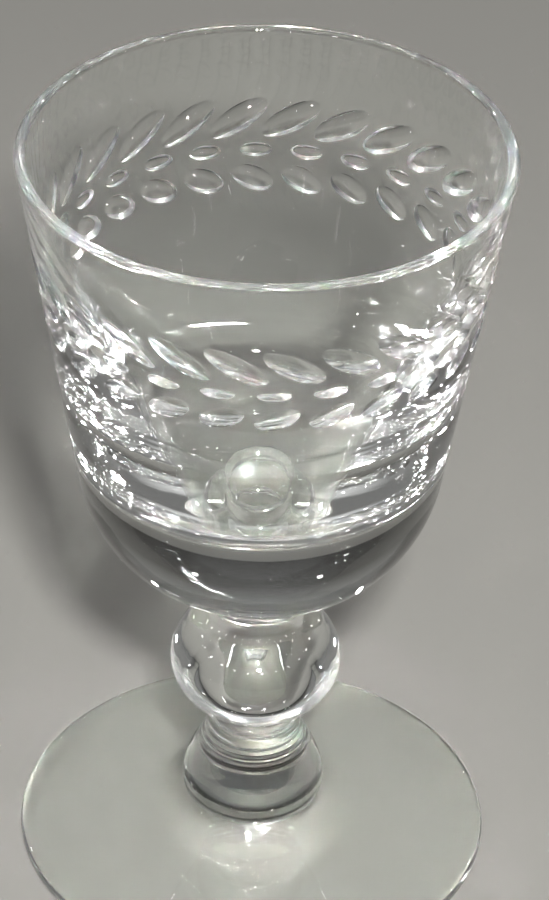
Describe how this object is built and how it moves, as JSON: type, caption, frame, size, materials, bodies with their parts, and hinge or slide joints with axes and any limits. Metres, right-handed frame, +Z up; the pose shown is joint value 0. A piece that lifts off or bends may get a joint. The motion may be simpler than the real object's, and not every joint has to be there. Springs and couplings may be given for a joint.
{
  "type": "oyster cocktail glass",
  "caption": "Short stemmed glass with a tapering bowl cut with a laurel band, a ball knop over a bell knop, and a wide round foot, for serving a seafood cocktail.",
  "frame": {"origin": "the middle of the foot, on the plane that the glass stands on", "axes": "+Z up along the stem, through the bowl's mouth; -Y towards the viewer of the picture"},
  "size_m": [0.065, 0.065, 0.1107],
  "materials": {
    "crystal": "fire-polished, clear and colourless"
  },
  "bodies": {
    "root": {"foot": "crystal", "bell_knop": "crystal", "ball_knop": "crystal", "bowl": "crystal"}
  },
  "joints": []
}
